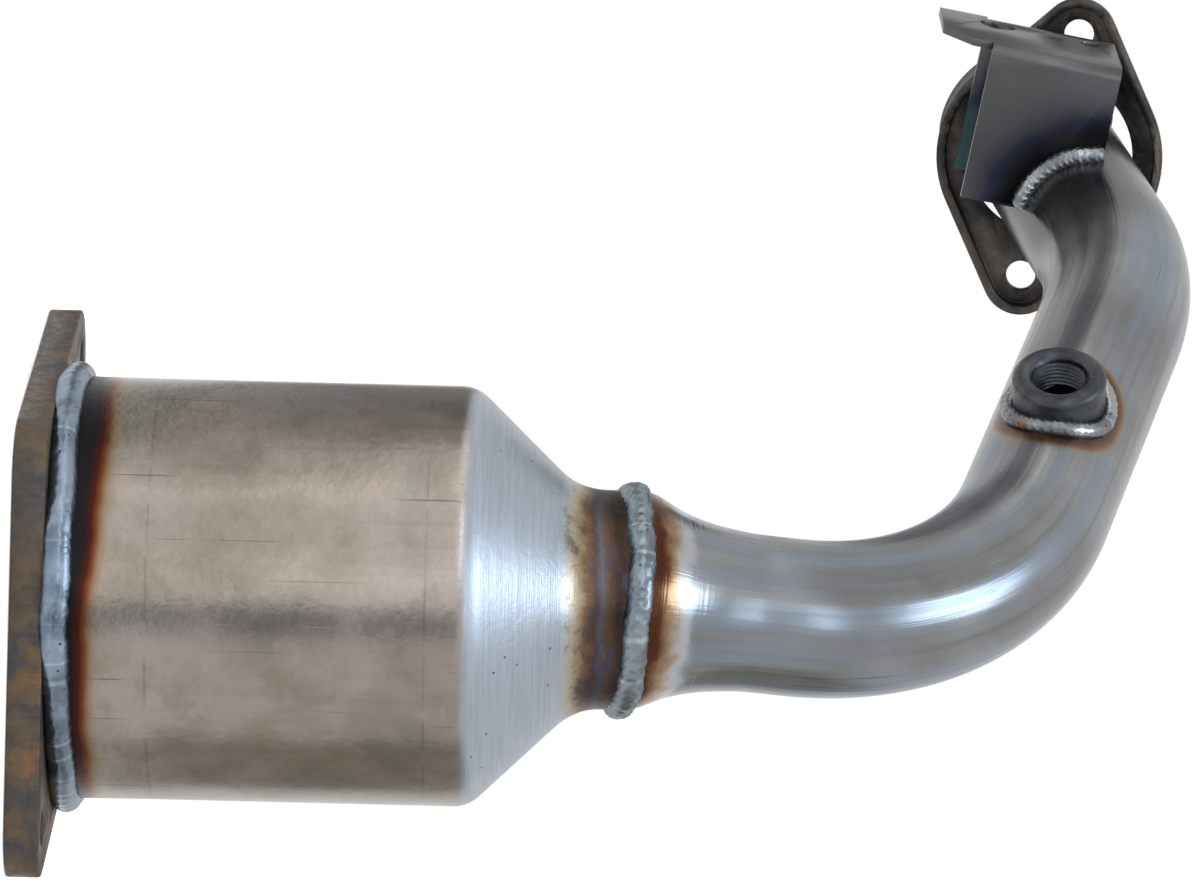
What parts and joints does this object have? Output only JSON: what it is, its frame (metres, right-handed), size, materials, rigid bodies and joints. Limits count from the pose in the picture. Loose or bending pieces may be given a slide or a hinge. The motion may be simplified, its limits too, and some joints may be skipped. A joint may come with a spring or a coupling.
{
  "type": "catalytic converter",
  "caption": "Round catalytic converter with a flanged inlet, an end cone, a bent down pipe, a sensor boss, a bracket and a loose outlet flange.",
  "frame": {"origin": "centre of the gasket face of the inlet flange, which is the underside", "axes": "+Z along the can from inlet to outlet; the pipe leaves towards +Y and turns to -X"},
  "size_m": [0.2014, 0.3837, 0.3632],
  "materials": {
    "inlet_flange": "flame-cut plate with dark scale and heat stains",
    "weld_metal": "rippled weld bead, blue-grey",
    "shell_steel": "satin stainless sheet with heat tint near the welds",
    "cordierite": "washcoated ceramic honeycomb",
    "mat_fibre": "ceramic fibre mat",
    "wire_mesh": "knitted wire",
    "pipe_steel": "satin stainless tube, lightly scratched along its length",
    "boss_steel": "turned steel, dark with heat",
    "pressed_steel": "pressed plate, dark brown scale",
    "bracket_steel": "folded sheet, grey with purple and blue heat tint"
  },
  "bodies": {
    "root": {"inlet_flange": "inlet_flange", "inlet_flange_weld": "weld_metal", "converter_shell": "shell_steel", "catalyst_brick": "cordierite", "mounting_mat": "mat_fibre", "front_mat_seal": "wire_mesh", "rear_mat_seal": "wire_mesh", "outlet_pipe": "pipe_steel", "neck_weld": "weld_metal", "sensor_boss": "boss_steel", "sensor_boss_weld": "weld_metal", "outlet_flange": "pressed_steel", "bracket": "bracket_steel", "bracket_front_weld": "weld_metal", "bracket_back_weld": "weld_metal"}
  },
  "joints": []
}
